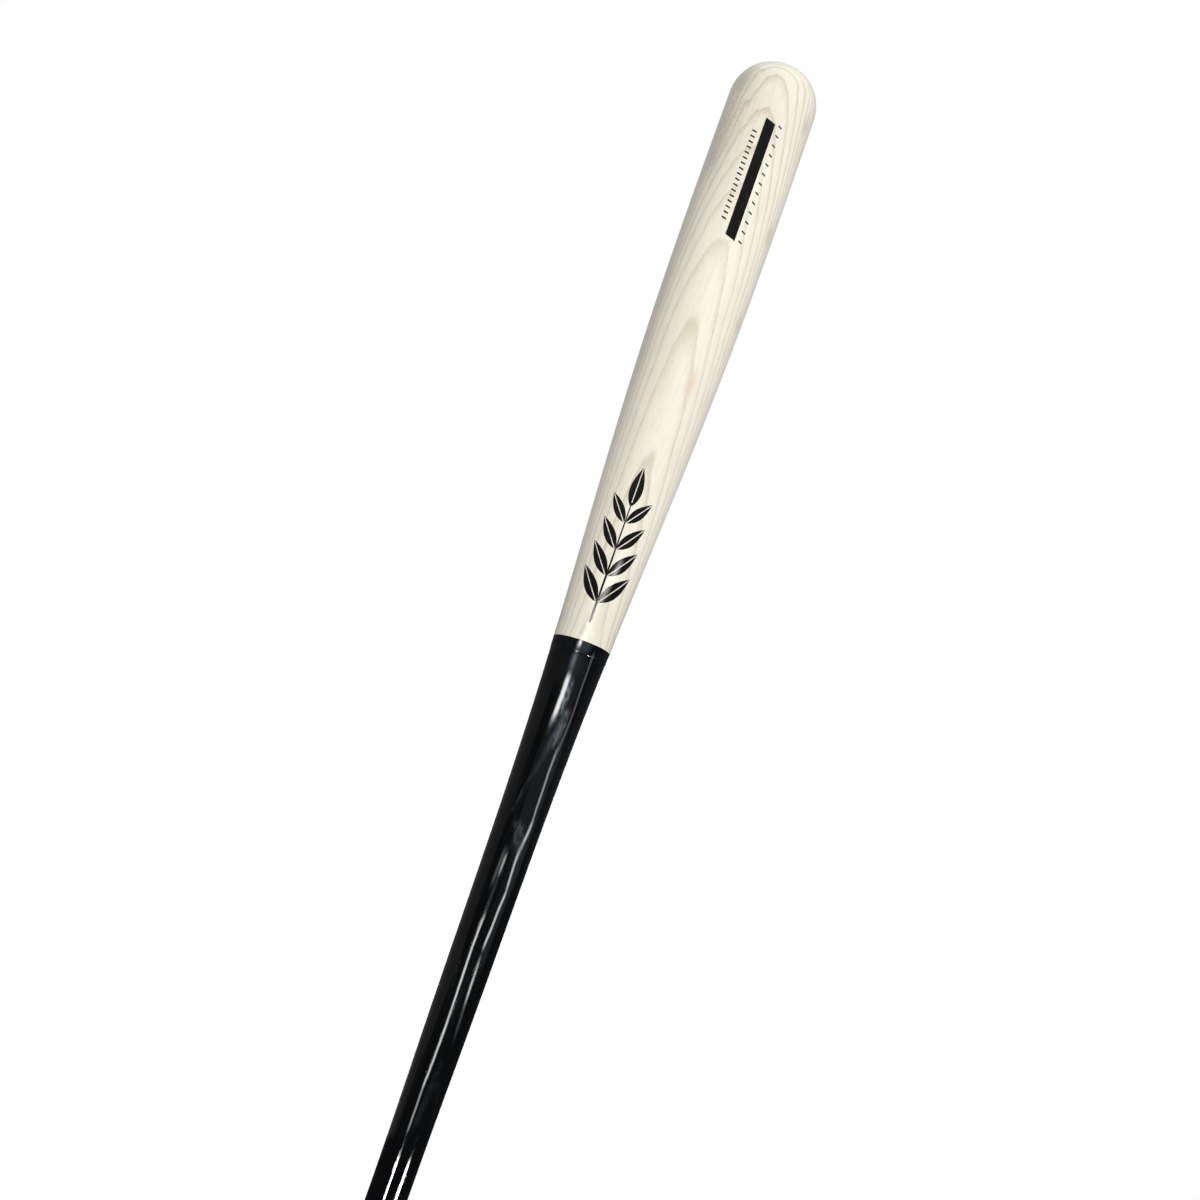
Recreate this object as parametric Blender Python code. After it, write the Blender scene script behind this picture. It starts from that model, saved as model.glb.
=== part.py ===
"""Wooden baseball bat, turned from one billet of ash.

The handle and knob are dipped in black lacquer and the barrel in clear lacquer, whose lower
edge laps over the black. The billet and the two coats are nested solids, each turned from the
same outline.

Frame: origin at the centre of the knob's flat face, +Z along the bat to the barrel's end.
Lengths are in metres. Heights count up from the knob's face, setbacks down from the barrel's end.
"""

import math

import bmesh
import bpy
import numpy as np

INCH = 0.0254

# Whole bat
LENGTH = 34 * INCH
SIDES = 48

# Knob: flat face, rounded rim, sloping shoulder, hollow neck
KNOB_DIAMETER = 0.0505
KNOB_SIDE_HEIGHT = 0.0145
KNOB_NECK_HEIGHT = 0.0255
KNOB_RIM_RADIUS = 0.0075
KNOB_SHOULDER_RADIUS = 0.0070
KNOB_NECK_RADIUS = 0.0200

# Handle, slimmest at the grip
GRIP_DIAMETER = 0.0237
GRIP_HEIGHT = 0.0700
HANDLE_DIAMETER = 0.0269
HANDLE_HEIGHT = 0.1900
THROAT_DIAMETER = 0.0300
THROAT_HEIGHT = 0.3100
TAPER_DIAMETER = 0.0346
TAPER_HEIGHT = 0.3900

# Barrel, full size just below its rounded end
LOWER_BARREL_DIAMETER = 0.0488
LOWER_BARREL_SETBACK = 0.3400
UPPER_BARREL_DIAMETER = 0.0598
UPPER_BARREL_SETBACK = 0.2200
SWEET_SPOT_DIAMETER = 0.0632
SWEET_SPOT_SETBACK = 0.1200
BARREL_DIAMETER = 2.5 * INCH
BARREL_SETBACK = 0.0500
BARREL_END_RADIUS = 0.0260

# Lacquer coats
BLACK_COAT_HEIGHT = 0.4248
COAT_THICKNESS = 0.0002
LAP_WIDTH = 0.0080
JOGGLE_WIDTH = 0.0020
CLEARANCE = 0.0003

# Facets
RING_SPACING = 0.036
ARC_STEP = math.radians(16)
MERGE_DISTANCE = 1e-6
SHARP_ANGLE = math.radians(40)


def round_corner(before, corner, after, radius):
    """Points of the arc that rounds the corner of a profile, from one tangent point to the other."""
    before, corner, after = (np.array(point) for point in (before, corner, after))
    arriving = (corner - before) / np.linalg.norm(corner - before)
    leaving = (after - corner) / np.linalg.norm(after - corner)
    turn = math.acos(float(arriving @ leaving))
    inward = (leaving - arriving) / np.linalg.norm(leaving - arriving)
    centre = corner + inward * radius / math.cos(turn / 2)
    start = corner - arriving * radius * math.tan(turn / 2) - centre
    steps = max(2, round(turn / ARC_STEP))
    points = []
    for step in range(steps + 1):
        angle = turn * step / steps
        points.append(tuple(centre + start * math.cos(angle) + arriving * radius * math.sin(angle)))
    return points


def spline_slopes(heights, radii):
    """Slopes of the smooth curve through the stations, which runs straight up at both its ends."""
    count = len(heights)
    spans = np.diff(heights)
    rises = np.diff(radii) / spans
    system = np.eye(count)
    known = np.zeros(count)
    for i in range(1, count - 1):
        system[i, i - 1] = spans[i]
        system[i, i] = 2 * (spans[i - 1] + spans[i])
        system[i, i + 1] = spans[i - 1]
        known[i] = 3 * (spans[i] * rises[i - 1] + spans[i - 1] * rises[i])
    return np.linalg.solve(system, known)


def smooth_curve(stations):
    """Points of the smooth curve through (radius, height) stations, about a ring spacing apart."""
    radii, heights = (np.array(values) for values in zip(*stations))
    slopes = spline_slopes(heights, radii)
    points = []
    for i in range(len(heights) - 1):
        span = heights[i + 1] - heights[i]
        steps = max(1, round(span / RING_SPACING))
        for step in range(steps):
            t = step / steps
            radius = (
                (1 + 2 * t) * (1 - t) ** 2 * radii[i]
                + t * (1 - t) ** 2 * span * slopes[i]
                + t**2 * (3 - 2 * t) * radii[i + 1]
                - t**2 * (1 - t) * span * slopes[i + 1]
            )
            points.append((radius, heights[i] + t * span))
    points.append((radii[-1], heights[-1]))
    return points


def bat_outline():
    """Half of the finished bat's outline as (radius, height), from the knob's face to the end."""
    knob_radius = KNOB_DIAMETER / 2
    grip_radius = GRIP_DIAMETER / 2
    barrel_radius = BARREL_DIAMETER / 2
    face_centre = (0.0, 0.0)
    rim = (knob_radius, 0.0)
    shoulder = (knob_radius, KNOB_SIDE_HEIGHT)
    neck = (grip_radius, KNOB_NECK_HEIGHT)
    grip = (grip_radius, GRIP_HEIGHT)
    barrel = (barrel_radius, LENGTH - BARREL_SETBACK)
    end_edge = (barrel_radius, LENGTH)
    end_centre = (0.0, LENGTH)
    stations = [
        grip,
        (HANDLE_DIAMETER / 2, HANDLE_HEIGHT),
        (THROAT_DIAMETER / 2, THROAT_HEIGHT),
        (TAPER_DIAMETER / 2, TAPER_HEIGHT),
        (LOWER_BARREL_DIAMETER / 2, LENGTH - LOWER_BARREL_SETBACK),
        (UPPER_BARREL_DIAMETER / 2, LENGTH - UPPER_BARREL_SETBACK),
        (SWEET_SPOT_DIAMETER / 2, LENGTH - SWEET_SPOT_SETBACK),
        barrel,
    ]
    return (
        [face_centre]
        + round_corner(face_centre, rim, shoulder, KNOB_RIM_RADIUS)
        + round_corner(rim, shoulder, neck, KNOB_SHOULDER_RADIUS)
        + round_corner(shoulder, neck, grip, KNOB_NECK_RADIUS)
        + smooth_curve(stations)
        + round_corner(barrel, end_edge, end_centre, BARREL_END_RADIUS)
        + [end_centre]
    )


def inset(outline, depth):
    """The outline moved square to itself into the wood by depth, or out of it where negative."""
    points = np.array(outline)
    along = np.diff(points, axis=0)
    along /= np.linalg.norm(along, axis=1)[:, None]
    inward = np.column_stack([-along[:, 1], along[:, 0]])
    moved = []
    for i, point in enumerate(points):
        first = inward[max(i - 1, 0)]
        second = inward[min(i, len(inward) - 1)]
        bisector = first + second
        moved.append(tuple(point + bisector * 2 * depth / (bisector @ bisector)))
    return moved


def cut_at(outline, height):
    """The outline in two parts, below and above a height, which both hold the point there."""
    upper = next(i for i, point in enumerate(outline) if point[1] > height)
    (low_radius, low_height), (high_radius, high_height) = outline[upper - 1], outline[upper]
    share = (height - low_height) / (high_height - low_height)
    cut = (low_radius + share * (high_radius - low_radius), height)
    below = [point for point in outline[:upper] if height - point[1] > MERGE_DISTANCE]
    above = [point for point in outline[upper:] if point[1] - height > MERGE_DISTANCE]
    return below + [cut], [cut] + above


def turn_on_lathe(name, profile, material):
    """One solid of revolution about Z, from a profile whose two ends are on the axis."""
    mesh = bpy.data.meshes.new(name)
    bm = bmesh.new()
    verts = [bm.verts.new((radius, 0.0, height)) for radius, height in profile]
    edges = [bm.edges.new(pair) for pair in zip(verts, verts[1:])]
    bmesh.ops.spin(
        bm,
        geom=verts + edges,
        cent=(0.0, 0.0, 0.0),
        axis=(0.0, 0.0, 1.0),
        angle=2 * math.pi,
        steps=SIDES,
        use_merge=True,
    )
    bmesh.ops.remove_doubles(bm, verts=bm.verts, dist=MERGE_DISTANCE)
    bmesh.ops.recalc_face_normals(bm, faces=bm.faces)
    bm.to_mesh(mesh)
    bm.free()
    mesh.shade_smooth()
    mesh.set_sharp_from_angle(angle=SHARP_ANGLE)
    mesh.materials.append(material)
    solid = bpy.data.objects.new(name, mesh)
    bpy.context.collection.objects.link(solid)
    return solid


def finish(name, colour, roughness, coat=0.0, alpha=1.0):
    """A Principled material."""
    material = bpy.data.materials.new(name)
    material.use_nodes = True
    shader = material.node_tree.nodes["Principled BSDF"]
    shader.inputs["Base Color"].default_value = (*colour, 1.0)
    shader.inputs["Roughness"].default_value = roughness
    shader.inputs["Coat Weight"].default_value = coat
    shader.inputs["Alpha"].default_value = alpha
    shader.inputs["Metallic"].default_value = 0.0
    material.diffuse_color = (*colour, alpha)
    return material


def make_billet(outline):
    """The turned ash, undersize by one coat and its clearance all over."""
    profile = inset(outline, COAT_THICKNESS + CLEARANCE)
    ash = finish("pale_ash", (0.80, 0.71, 0.58), 0.45)
    return turn_on_lathe("ash_billet", profile, ash)


def make_black_coat(outline):
    """The black skin of the knob and handle, open at its upper edge."""
    outer, _ = cut_at(outline, BLACK_COAT_HEIGHT)
    inner, _ = cut_at(inset(outline, COAT_THICKNESS), BLACK_COAT_HEIGHT)
    black = finish("black_lacquer", (0.010, 0.012, 0.014), 0.10, coat=1.0)
    return turn_on_lathe("handle_black_lacquer", outer + inner[::-1], black)


def make_clear_coat(outline):
    """The clear skin of the barrel. Above the black's edge it joggles in, from lap to barrel."""
    lap_start = BLACK_COAT_HEIGHT - LAP_WIDTH
    joggle_start = BLACK_COAT_HEIGHT + CLEARANCE
    joggle_end = joggle_start + JOGGLE_WIDTH
    skins = []
    for depth in (-COAT_THICKNESS, 0.0):
        over_black = inset(outline, depth - CLEARANCE)
        over_wood = inset(outline, depth + COAT_THICKNESS)
        lap, _ = cut_at(cut_at(over_black, lap_start)[1], joggle_start)
        _, barrel = cut_at(over_wood, joggle_end)
        skins.append(lap + barrel)
    outer, inner = skins
    clear = finish("clear_lacquer", (0.88, 0.84, 0.76), 0.10, coat=1.0, alpha=0.25)
    return turn_on_lathe("barrel_clear_lacquer", outer[::-1] + inner, clear)


def main():
    for thing in list(bpy.data.objects):
        bpy.data.objects.remove(thing, do_unlink=True)
    outline = bat_outline()
    make_billet(outline)
    make_black_coat(outline)
    make_clear_coat(outline)


main()
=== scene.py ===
"""Wooden baseball bat, finished: turned ash, black and clear lacquer, plain print, studio.

It is laid out as a Blender add-on and run as a script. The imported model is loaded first, and
every piece is turned to the outline that the model has. Lengths are in metres, +Z runs up the bat
from the knob's flat face to the barrel's rounded end, and the bat's printed side faces -Y.
"""

import math
from typing import NamedTuple

import bmesh
import bpy
import numpy as np
from bpy.props import FloatProperty, FloatVectorProperty, IntProperty, PointerProperty
from mathutils import Matrix, Vector


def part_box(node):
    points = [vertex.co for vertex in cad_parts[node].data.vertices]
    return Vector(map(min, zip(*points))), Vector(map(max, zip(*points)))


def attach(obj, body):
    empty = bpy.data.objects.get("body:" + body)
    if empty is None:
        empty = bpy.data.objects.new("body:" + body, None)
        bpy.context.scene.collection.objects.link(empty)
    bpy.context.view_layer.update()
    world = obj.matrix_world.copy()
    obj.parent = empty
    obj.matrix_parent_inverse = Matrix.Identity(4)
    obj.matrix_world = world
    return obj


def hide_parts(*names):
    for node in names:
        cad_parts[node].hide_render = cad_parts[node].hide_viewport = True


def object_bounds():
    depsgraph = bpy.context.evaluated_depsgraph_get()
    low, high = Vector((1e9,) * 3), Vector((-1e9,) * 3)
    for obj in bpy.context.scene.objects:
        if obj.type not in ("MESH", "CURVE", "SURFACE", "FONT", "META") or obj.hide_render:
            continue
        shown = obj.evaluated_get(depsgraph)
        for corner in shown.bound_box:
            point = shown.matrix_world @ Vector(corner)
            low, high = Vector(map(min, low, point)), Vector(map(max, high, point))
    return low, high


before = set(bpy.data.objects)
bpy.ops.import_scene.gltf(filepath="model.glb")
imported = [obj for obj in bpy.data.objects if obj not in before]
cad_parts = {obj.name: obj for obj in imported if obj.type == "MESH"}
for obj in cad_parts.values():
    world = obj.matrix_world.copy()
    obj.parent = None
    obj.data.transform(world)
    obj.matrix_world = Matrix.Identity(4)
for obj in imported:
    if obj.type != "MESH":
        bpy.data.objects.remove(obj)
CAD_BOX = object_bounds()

bl_info = {
    "name": "Wooden Baseball Bat",
    "version": (1, 0, 0),
    "blender": (4, 5, 0),
    "location": "View3D > Sidebar > Bat",
    "description": "Turns and finishes a lacquered ash baseball bat, piece by piece",
    "category": "Add Mesh",
}

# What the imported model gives
BILLET = "ash_billet"
BLACK_COAT = "handle_black_lacquer"
CLEAR_COAT = "barrel_clear_lacquer"
BAT_LENGTH = CAD_BOX[1].z
KNOB_DIAMETER = 2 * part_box(BLACK_COAT)[1].x
BARREL_DIAMETER = 2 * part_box(CLEAR_COAT)[1].x
BLACK_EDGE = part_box(BLACK_COAT)[1].z
LAP_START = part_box(CLEAR_COAT)[0].z
BILLET_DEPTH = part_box(BILLET)[0].z

# Where the outline is read off the model: heights on the handle, setbacks on the barrel
HANDLE_STATIONS = (0.070, 0.190, 0.310, 0.390)
BARREL_SETBACKS = (0.340, 0.220, 0.120, 0.050)
CURVE_FOOT = HANDLE_STATIONS[0]
CURVE_TOP = BAT_LENGTH - BARREL_SETBACKS[-1]
RING_TOLERANCE = 5e-5

MERGE_DISTANCE = 1e-6
SHARP_ANGLE = math.radians(50)
WHITE = (1.0, 1.0, 1.0)


def number(name, description, default, **options):
    """A number that the user can set."""
    return FloatProperty(name=name, description=description, default=default, **options)


def length(name, description, default):
    """A length in metres."""
    return number(name, description, default, unit="LENGTH", precision=5)


def share(name, description, default):
    """A share from 0 to 1."""
    return number(name, description, default, min=0.0, max=1.0, subtype="FACTOR")


def angle(name, description, degrees):
    """An angle, given in degrees."""
    return number(name, description, math.radians(degrees), subtype="ANGLE")


def colour(name, description, default):
    """A linear colour."""
    return FloatVectorProperty(
        name=name,
        description=description,
        default=default,
        size=3,
        min=0.0,
        max=1.0,
        subtype="COLOR",
    )


class BatShape(bpy.types.PropertyGroup):
    """Fillets of the turned ends, and how finely the pieces are turned."""

    sides: IntProperty(name="Sides", description="Facets round the bat", default=160, min=24)
    ring_step: length("Ring Step", "Height between the rings of the slow curve", 0.004)
    arc_step: angle("Arc Step", "Turn between the points of a fillet", 5)
    knob_side_height: length("Knob Side Height", "Top of the knob's straight side", 0.0145)
    knob_neck_height: length("Knob Neck Height", "Foot of the grip above the knob", 0.0255)
    knob_rim_radius: length("Knob Rim Radius", "Rounding at the knob's flat face", 0.0075)
    knob_shoulder_radius: length("Knob Shoulder Radius", "Rounding above the knob's side", 0.0070)
    knob_neck_radius: length("Knob Neck Radius", "Hollow between knob and grip", 0.0200)
    end_radius: length("End Radius", "Rounding of the barrel's end", 0.0260)


class CoatShape(bpy.types.PropertyGroup):
    """Thickness of the lacquers, and the run of clear lacquer that laps over the black."""

    thickness: length("Thickness", "Thickness of a coat", 0.0002)
    lap_rise: length("Lap Rise", "How far the clear coat stands proud of the black", 0.00018)
    lap_foot: length("Lap Foot", "Height in which the foot of the lap rounds up", 0.0009)
    lap_fade: length("Lap Fade", "Height in which the lap levels out on the wood", 0.0120)
    foot_step: length("Foot Step", "Height between the rings in the lap's foot", 0.00009)
    lap_step: length("Lap Step", "Height between the rings in the rest of the lap", 0.0006)
    lap_seat: share("Lap Seat", "Gap between the lap and the black, as a share of its rise", 0.1)


class AshLook(bpy.types.PropertyGroup):
    """The figure and the colours of the flat-sawn ash."""

    pale: colour("Pale Wood", "Late wood, which fills most of a ring", (0.942, 0.890, 0.764))
    line: colour("Ring Line", "Early wood, the dark start of each ring", (0.600, 0.545, 0.415))
    pore: colour("Pore", "Open pores of the early wood", (0.430, 0.370, 0.270))
    tan: colour("Mineral Streak", "Tan streaks and stains", (0.760, 0.650, 0.460))
    olive: colour("Olive Stain", "Olive stains in the tips of the arches", (0.700, 0.635, 0.440))
    # Grey is also the colour of the painted shade on the left flank and the front near the end
    grey: colour("Shaded Stain", "Grey brown stains near the end", (0.560, 0.500, 0.410))
    ring_width: length("Ring Width", "Growth in one year", 0.0029)
    heart_distance: length("Heart Distance", "From the bat's axis to the heart of the log", 0.090)
    figure_turn: angle("Figure Turn", "Turn of the arches from the middle of the print", 3.0)
    figure_lean: length("Figure Lean", "How far left the heart is a metre below the bend", 0.110)
    bend_height: length("Bend Height", "Above this height the arches stand straight", 0.650)
    wander: length("Wander", "How far the rings stray over a hand's breadth", 0.0010)
    ripple: length("Ripple", "How far the rings stray over a finger's breadth", 0.0006)
    pore_strength: share("Pore Strength", "How strongly the pores show", 0.58)
    fibre_strength: share("Fibre Strength", "How strongly the long fibres show", 0.22)
    shade_strength: share("Shade Strength", "How strongly the broad shaded patches show", 0.10)
    fleck_strength: share("Fleck Strength", "How strongly the flecks near the end show", 0.58)
    pore_depth: length("Pore Depth", "Depth of the pores in the bare wood", 0.00005)
    bare_roughness: share("Bare Roughness", "Roughness of the sanded wood", 0.55)
    early_roughness: share("Early Roughness", "Extra roughness of the bare early wood", 0.1)


class LacquerLook(bpy.types.PropertyGroup):
    """The gloss of both lacquers and the colour of the black one."""

    black: colour("Black", "Body colour of the black lacquer", (0.0022, 0.0026, 0.0032))
    haze: colour("Haze", "Black lacquer where the grain shows through", (0.010, 0.011, 0.012))
    gloss: share("Gloss Roughness", "Roughness of the black lacquer", 0.04)
    barrel_gloss: share("Barrel Roughness", "Roughness of the clear lacquer", 0.14)
    line_roughness: share("Line Roughness", "Extra roughness of the black on ring lines", 0.03)
    veil_roughness: share("Veil Roughness", "Extra roughness of the black's veil", 0.01)
    early_roughness: share("Early Roughness", "Extra roughness of the clear on early wood", 0.05)
    sag: length("Sag", "Height of the slow unevenness of the surface", 0.00011)
    grain: length("Grain", "Height of the grain that telegraphs through", 0.000012)


class PrintLook(bpy.types.PropertyGroup):
    """The plain printed sprig, bar and ticks."""

    ink: colour("Ink", "Colour of the print", (0.0060, 0.0058, 0.0056))
    worn: colour("Worn Ink", "Colour of the print where it is worn", (0.05, 0.047, 0.042))
    wear: share("Wear", "How far the print is worn on the pores", 0.5)
    gloss: share("Print Roughness", "Roughness of the print", 0.07)
    film: length("Film", "How far the print stands on the lacquer", 0.00003)
    sprig_height: length("Sprig Height", "Foot of the sprig's stem", 0.437)
    sprig_length: length("Sprig Length", "Length of the sprig", 0.106)
    pairs: IntProperty(name="Pairs", description="Pairs of leaflets", default=4, min=1)
    leaflet_length: length("Leaflet Length", "Length of one leaflet", 0.0270)
    leaflet_width: length("Leaflet Width", "Width of one leaflet", 0.0086)
    leaflet_lean: angle("Leaflet Lean", "How far a leaflet leans off the stem", 36)
    leaflet_aside: length("Leaflet Aside", "From the stem's middle to a leaflet's foot", 0.0008)
    midrib: length("Midrib", "Gap along the middle of a leaflet", 0.0006)
    bar_height: length("Bar Height", "Middle of the bar", 0.7589)
    bar_aside: length("Bar Aside", "How far the bar stands right of the print's middle", 0.0029)
    bar_length: length("Bar Length", "Length of the thick bar", 0.0922)
    bar_width: length("Bar Width", "Width of the thick bar", 0.0074)
    tick_length: length("Tick Length", "Height of one tick", 0.0012)
    slant: share("Slant", "Slant of the ends of bar and ticks", 0.34)


class StudioLook(bpy.types.PropertyGroup):
    """Camera, lamps and background."""

    camera_distance: length("Camera Distance", "From the camera to the bat's axis", 0.762)
    camera_height: length("Camera Height", "Height of the camera above the floor", 0.2971)
    camera_aside: length("Camera Aside", "How far the camera stands to the right", 0.00147)
    camera_tilt: angle("Camera Tilt", "How far the camera looks up", 11.84)
    camera_roll: angle("Camera Roll", "Turn of the camera, so that the bat leans right", 19.40)
    lens: number("Lens", "Focal length", 36.0, subtype="DISTANCE_CAMERA")
    sensor: number("Sensor", "Sensor width", 36.0, subtype="DISTANCE_CAMERA")
    ambient: share("Ambient", "Strength of the light from all round", 0.405)
    key_power: number("Key Power", "Power of the soft key", 17.4, subtype="POWER")
    key_azimuth: angle("Key Azimuth", "How far round to the right the key hangs", 18)
    key_distance: length("Key Distance", "From the key to the bat's axis", 1.5)
    key_height: length("Key Height", "Height of the key above the floor", 1.15)
    key_aim: length("Key Aim", "Height that the key is aimed at", 0.45)
    key_size: length("Key Size", "Side of the square key", 1.1)
    floor: colour("Floor", "Colour of the floor", (0.90, 0.90, 0.89))
    shade: share("Shade", "How much white the floor loses at the knob", 0.40)
    haze: colour("Haze", "Tint of the dim light that the gloss mirrors", (0.75, 0.90, 1.0))
    dark: share("Dark", "Least light that the gloss mirrors", 0.03)
    upper: share("Upper", "Light in front of the barrel that the gloss mirrors", 0.14)
    flank: share("Flank", "Light beside the barrel that the gloss mirrors", 0.45)


SETTINGS = {
    "bat_shape": BatShape,
    "bat_coats": CoatShape,
    "bat_ash": AshLook,
    "bat_lacquer": LacquerLook,
    "bat_print": PrintLook,
    "bat_studio": StudioLook,
}


# The outline


def ring_radius(node, height):
    """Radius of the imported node's outermost ring at a height."""
    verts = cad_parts[node].data.vertices
    rings = [v.co.xy.length for v in verts if abs(v.co.z - height) < RING_TOLERANCE]
    if not rings:
        raise RuntimeError(f"{node} has no ring at {height:.4f} m")
    return max(rings)


def round_corner(before, corner, after, radius, arc_step):
    """Points of the arc that rounds a profile's corner, from one tangent point to the other."""
    before, corner, after = (np.array(point) for point in (before, corner, after))
    arriving = (corner - before) / np.linalg.norm(corner - before)
    leaving = (after - corner) / np.linalg.norm(after - corner)
    turn = math.acos(float(arriving @ leaving))
    inward = (leaving - arriving) / np.linalg.norm(leaving - arriving)
    centre = corner + inward * radius / math.cos(turn / 2)
    start = corner - arriving * radius * math.tan(turn / 2) - centre
    steps = max(2, round(turn / arc_step))
    angles = [turn * step / steps for step in range(steps + 1)]
    return [tuple(centre + start * math.cos(a) + arriving * radius * math.sin(a)) for a in angles]


class SlowCurve:
    """The smooth curve of handle and barrel, which runs straight up at both its ends."""

    def __init__(self):
        handle = [(height, ring_radius(BLACK_COAT, height)) for height in HANDLE_STATIONS]
        heights = [BAT_LENGTH - setback for setback in BARREL_SETBACKS]
        barrel = [(height, ring_radius(CLEAR_COAT, height)) for height in heights]
        self.heights, self.radii = (np.array(values) for values in zip(*handle + barrel))
        spans = np.diff(self.heights)
        rises = np.diff(self.radii) / spans
        system = np.eye(len(self.heights))
        known = np.zeros(len(self.heights))
        for i in range(1, len(spans)):
            system[i, i - 1 : i + 2] = spans[i], 2 * (spans[i - 1] + spans[i]), spans[i - 1]
            known[i] = 3 * (spans[i] * rises[i - 1] + spans[i - 1] * rises[i])
        self.slopes = np.linalg.solve(system, known)

    def radius(self, height):
        """Radius of the finished bat at a height between knob and rounded end."""
        height = min(max(height, self.heights[0]), self.heights[-1])
        i = min(int(np.searchsorted(self.heights, height, side="right")) - 1, len(self.heights) - 2)
        span = self.heights[i + 1] - self.heights[i]
        t = (height - self.heights[i]) / span
        return float(
            (1 + 2 * t) * (1 - t) ** 2 * self.radii[i]
            + t * (1 - t) ** 2 * span * self.slopes[i]
            + t**2 * (3 - 2 * t) * self.radii[i + 1]
            - t**2 * (1 - t) * span * self.slopes[i + 1]
        )

    def points(self, low, high, step):
        """(radius, height) points from one height to another, about a step apart."""
        count = max(1, round((high - low) / step))
        heights = [low + (high - low) * i / count for i in range(count + 1)]
        return [(self.radius(height), height) for height in heights]


CURVE = SlowCurve()


def knob_outline(shape):
    """The knob and its neck, from the middle of the flat face to the grip."""
    knob_radius = KNOB_DIAMETER / 2
    grip_radius = CURVE.radius(CURVE_FOOT)
    middle = (0.0, 0.0)
    rim = (knob_radius, 0.0)
    shoulder = (knob_radius, shape.knob_side_height)
    neck = (grip_radius, shape.knob_neck_height)
    grip = (grip_radius, CURVE_FOOT)
    return (
        [middle]
        + round_corner(middle, rim, shoulder, shape.knob_rim_radius, shape.arc_step)
        + round_corner(rim, shoulder, neck, shape.knob_shoulder_radius, shape.arc_step)
        + round_corner(shoulder, neck, grip, shape.knob_neck_radius, shape.arc_step)
    )


def end_outline(shape):
    """The rounded end of the barrel, up to the middle of its flat."""
    barrel_radius = BARREL_DIAMETER / 2
    side = (barrel_radius, CURVE_TOP)
    corner = (barrel_radius, BAT_LENGTH)
    middle = (0.0, BAT_LENGTH)
    return round_corner(side, corner, middle, shape.end_radius, shape.arc_step) + [middle]


def moved_out(outline, rise):
    """The outline moved square to itself, away from the wood, by rise(height)."""
    points = np.array(outline)
    along = np.diff(points, axis=0)
    along /= np.linalg.norm(along, axis=1)[:, None]
    outward = np.column_stack([along[:, 1], -along[:, 0]])
    moved = []
    for i, point in enumerate(points):
        bisector = outward[max(i - 1, 0)] + outward[min(i, len(outward) - 1)]
        moved.append(tuple(point + bisector * 2 * rise(point[1]) / (bisector @ bisector)))
    return moved


def lathe(name, profile, sides, materials, material_at=None):
    """One solid turned about Z from a profile, whose open ends are on the axis or meet."""
    bm = bmesh.new()
    verts = [bm.verts.new((radius, 0.0, height)) for radius, height in profile]
    edges = [bm.edges.new(pair) for pair in zip(verts, verts[1:])]
    bmesh.ops.spin(
        bm,
        geom=verts + edges,
        cent=(0.0, 0.0, 0.0),
        axis=(0.0, 0.0, 1.0),
        angle=2 * math.pi,
        steps=sides,
        use_merge=True,
    )
    bmesh.ops.remove_doubles(bm, verts=bm.verts, dist=MERGE_DISTANCE)
    bmesh.ops.recalc_face_normals(bm, faces=bm.faces)
    if material_at:
        for face in bm.faces:
            face.material_index = material_at(face.calc_center_median())
    return new_piece(name, bm, materials)


def only(kind, made):
    """The verts or the edges among what an operator made."""
    return [part for part in made["geom"] if isinstance(part, kind)]


def new_piece(name, bm, materials):
    """A shaded object from a bmesh, at the origin."""
    mesh = bpy.data.meshes.new(name)
    bm.to_mesh(mesh)
    bm.free()
    mesh.shade_smooth()
    mesh.set_sharp_from_angle(angle=SHARP_ANGLE)
    for material in materials:
        mesh.materials.append(material)
    piece = bpy.data.objects.new(name, mesh)
    bpy.context.scene.collection.objects.link(piece)
    return piece


# Shader expressions


class Noise(NamedTuple):
    """A kind of noise: its cells across and along the bat in metres, its detail and its seed.

    Cut into patches, it is nothing below low and full above high.
    """

    across: float
    along: float
    detail: float
    seed: float
    low: float = 0.0
    high: float = 1.0


class Wire:
    """An output socket. Arithmetic on it adds Math nodes."""

    def __init__(self, shading, node, output=0):
        self.shading = shading
        self.node = node
        self.socket = node.outputs[output]

    def out(self, output):
        """Another output of the same node."""
        return Wire(self.shading, self.node, output)

    def __add__(self, other):
        return self.shading.math("ADD", self, other)

    def __sub__(self, other):
        return self.shading.math("SUBTRACT", self, other)

    def __rsub__(self, other):
        return self.shading.math("SUBTRACT", other, self)

    def __mul__(self, other):
        return self.shading.math("MULTIPLY", self, other)

    def __truediv__(self, other):
        return self.shading.math("DIVIDE", self, other)

    def __pow__(self, other):
        return self.shading.math("POWER", self, other)

    __radd__ = __add__
    __rmul__ = __mul__


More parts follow.
